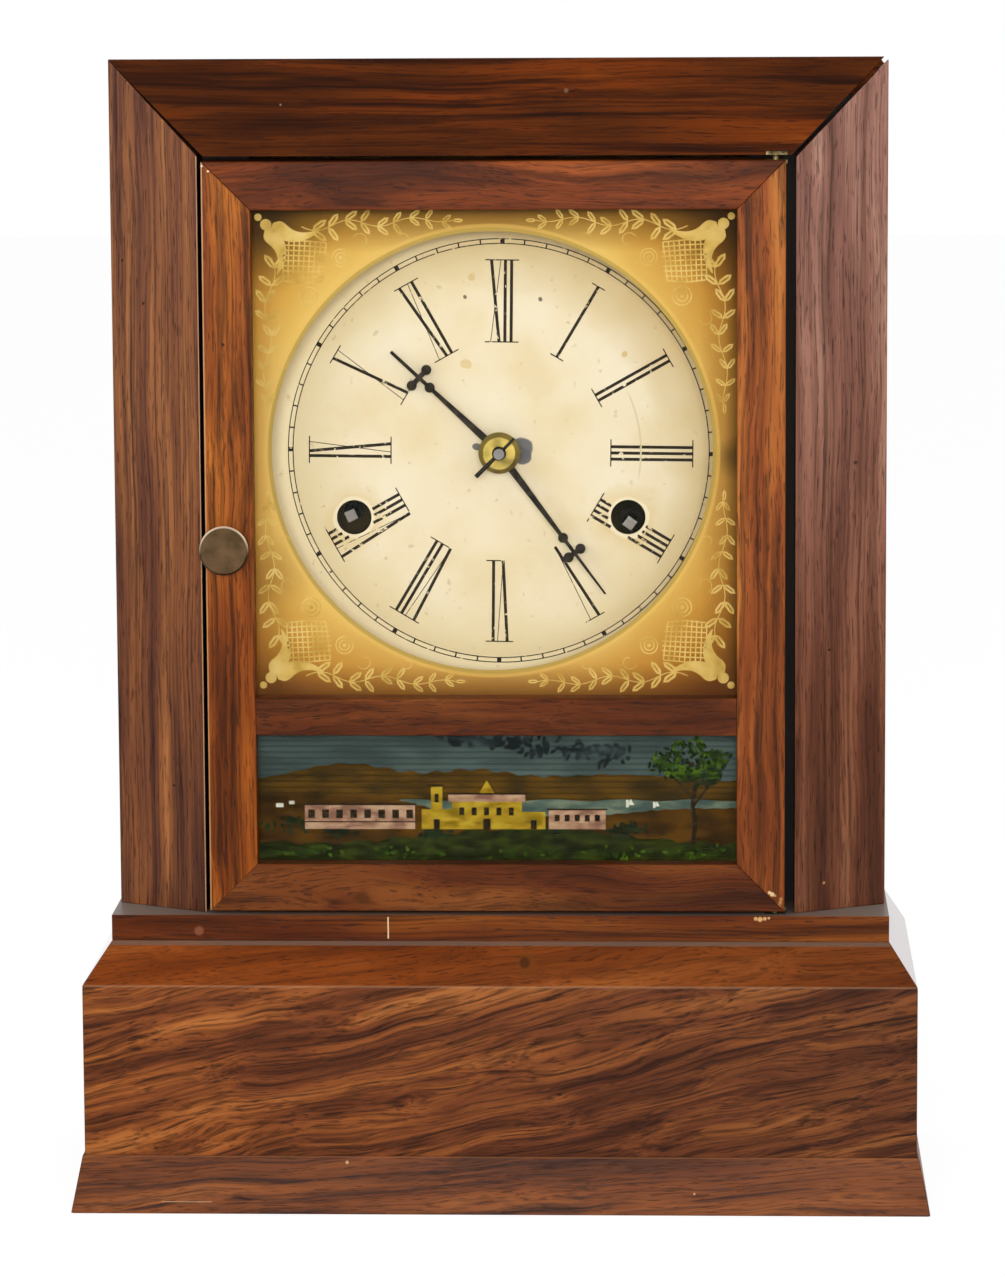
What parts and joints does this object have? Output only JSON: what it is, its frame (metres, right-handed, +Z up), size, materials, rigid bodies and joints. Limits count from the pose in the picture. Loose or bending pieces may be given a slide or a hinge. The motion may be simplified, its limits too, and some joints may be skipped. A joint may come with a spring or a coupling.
{
  "type": "cottage clock",
  "caption": "Small veneered cottage clock with a bevelled front, a glazed door over a round dial, a striking spring movement, a pendulum and a coiled gong.",
  "frame": {"origin": "middle of the footprint, on the ground", "axes": "+X to the viewer's right, +Y to the back of the clock, +Z up"},
  "size_m": [0.2562, 0.108, 0.3416],
  "materials": {
    "rosewood_veneer": "old varnish",
    "pine": "bare",
    "brass": "aged",
    "steel": "dull",
    "painted_dial": "satin",
    "blackened_steel": "matt",
    "clear_glass": "clear",
    "bronze": "aged",
    "blued_gong_steel": "blued",
    "cast_iron": "rough"
  },
  "bodies": {
    "case": {"base_front_panel": "rosewood_veneer", "base_left_panel": "rosewood_veneer", "base_right_panel": "rosewood_veneer", "foot_front": "rosewood_veneer", "foot_left": "rosewood_veneer", "foot_right": "rosewood_veneer", "base_rear_rail": "pine", "case_left_side": "rosewood_veneer", "case_right_side": "rosewood_veneer", "case_top_board": "rosewood_veneer", "case_nails": "steel", "dial_plate": "painted_dial", "dial_strips": "pine", "frame_left_stile": "rosewood_veneer", "frame_right_stile": "rosewood_veneer", "frame_top_rail": "rosewood_veneer", "base_cap_board": "rosewood_veneer", "hinge_eye_plates": "brass", "time_mainspring": "steel", "strike_mainspring": "steel", "suspension_post": "brass", "gong_coil": "blued_gong_steel", "gong_post": "cast_iron", "movement_front_plate": "brass", "movement_back_plate": "brass", "movement_pillars": "steel", "movement_posts": "steel", "back_board": "pine"},
    "door": {"door_top_rail": "rosewood_veneer", "door_bottom_rail": "rosewood_veneer", "door_left_stile": "rosewood_veneer", "door_right_stile": "rosewood_veneer", "door_muntin": "rosewood_veneer", "dial_glass": "clear_glass", "lower_glass": "clear_glass", "glazing_beads": "pine", "hinge_pin_plates": "brass"},
    "latch": {"latch_knob": "bronze", "latch_hook": "steel"},
    "minute": {"centre_wheel": "brass", "minute_hand": "blackened_steel", "hand_collet": "brass"},
    "hour": {"hour_wheel": "brass", "hour_hand": "blackened_steel"},
    "motion": {"motion_wheel": "brass"},
    "time_second": {"time_second_wheel": "brass"},
    "time_main": {"time_main_wheel": "brass"},
    "time_winding": {"time_winding_arbor": "steel"},
    "time_third": {"time_third_wheel": "brass"},
    "escape": {"escape_wheel": "brass"},
    "verge": {"verge": "steel"},
    "pendulum": {"pendulum_rod": "steel", "pendulum_bob": "brass"},
    "strike_main": {"strike_main_wheel": "brass"},
    "strike_winding": {"strike_winding_arbor": "steel"},
    "strike_second": {"strike_second_wheel": "brass"},
    "strike_third": {"strike_third_wheel": "brass"},
    "fly": {"fly": "brass"},
    "hammer": {"hammer": "steel"}
  },
  "joints": [
    {"name": "door_hinge", "type": "hinge", "parent": "case", "child": "door", "pos_m": [0.08175, -0.0359, 0.0894], "axis": [0, 0, 1], "range_deg": [0, 110]},
    {"name": "latch_turn", "type": "hinge", "parent": "door", "child": "latch", "pos_m": [-0.08065, -0.0401, 0.1982], "axis": [0, 1, 0], "range_deg": [0, 90]},
    {"name": "minute_turn", "type": "hinge", "parent": "case", "child": "minute", "pos_m": [0, 0, 0.22485], "axis": [0, 1, 0], "continuous": true},
    {"name": "time_third_turn", "type": "hinge", "parent": "case", "child": "time_third", "pos_m": [0.00414, 0, 0.2459], "axis": [0, 1, 0], "continuous": true},
    {"name": "hour_turn", "type": "hinge", "parent": "case", "child": "hour", "pos_m": [0, 0, 0.22485], "axis": [0, 1, 0], "continuous": true},
    {"name": "motion_turn", "type": "hinge", "parent": "case", "child": "motion", "pos_m": [0.005, 0, 0.21619], "axis": [0, 1, 0], "continuous": true},
    {"name": "time_second_turn", "type": "hinge", "parent": "case", "child": "time_second", "pos_m": [0.02321, 0, 0.22625], "axis": [0, 1, 0], "continuous": true},
    {"name": "time_main_turn", "type": "hinge", "parent": "case", "child": "time_main", "pos_m": [0.0387, 0, 0.20305], "axis": [0, 1, 0], "continuous": true},
    {"name": "time_winding_turn", "type": "hinge", "parent": "time_main", "child": "time_winding", "pos_m": [0.0387, 0, 0.20305], "axis": [0, 1, 0], "continuous": true},
    {"name": "escape_turn", "type": "hinge", "parent": "case", "child": "escape", "pos_m": [-0.014, 0, 0.24535], "axis": [0, 1, 0], "continuous": true},
    {"name": "strike_third_turn", "type": "hinge", "parent": "case", "child": "strike_third", "pos_m": [-0.03914, 0, 0.25451], "axis": [0, 1, 0], "continuous": true},
    {"name": "strike_second_turn", "type": "hinge", "parent": "case", "child": "strike_second", "pos_m": [-0.03511, 0, 0.23162], "axis": [0, 1, 0], "continuous": true},
    {"name": "strike_main_turn", "type": "hinge", "parent": "case", "child": "strike_main", "pos_m": [-0.04465, 0, 0.2054], "axis": [0, 1, 0], "continuous": true},
    {"name": "strike_winding_turn", "type": "hinge", "parent": "strike_main", "child": "strike_winding", "pos_m": [-0.04465, 0, 0.2054], "axis": [0, 1, 0], "continuous": true},
    {"name": "fly_turn", "type": "hinge", "parent": "case", "child": "fly", "pos_m": [-0.03104, 0, 0.26854], "axis": [0, 1, 0], "continuous": true},
    {"name": "pendulum_swing", "type": "hinge", "parent": "case", "child": "pendulum", "pos_m": [-0.014, -0.0094, 0.26985], "axis": [0, 1, 0], "range_deg": [-3.5, 3.5]},
    {"name": "verge_swing", "type": "hinge", "parent": "case", "child": "verge", "pos_m": [-0.014, 0, 0.26285], "axis": [0, 1, 0], "range_deg": [-4.3, 4.3]},
    {"name": "hammer_lift", "type": "hinge", "parent": "case", "child": "hammer", "pos_m": [-0.02, 0, 0.18285], "axis": [0, 1, 0], "range_deg": [0, 15], "stiffness_Nm_per_rad": 0.01, "springref_deg": -11.46}
  ],
  "couplings": [
    {"joint": "motion_turn", "follows": "minute_turn", "ratio": -0.33333},
    {"joint": "hour_turn", "follows": "minute_turn", "ratio": 0.083333},
    {"joint": "time_second_turn", "follows": "minute_turn", "ratio": -0.14815},
    {"joint": "time_main_turn", "follows": "minute_turn", "ratio": 0.021948},
    {"joint": "time_third_turn", "follows": "minute_turn", "ratio": -12},
    {"joint": "escape_turn", "follows": "minute_turn", "ratio": 120},
    {"joint": "strike_second_turn", "follows": "strike_third_turn", "ratio": -0.14815},
    {"joint": "strike_main_turn", "follows": "strike_third_turn", "ratio": 0.021948},
    {"joint": "fly_turn", "follows": "strike_third_turn", "ratio": -8},
    {"joint": "verge_swing", "follows": "pendulum_swing", "ratio": 1.2059}
  ]
}
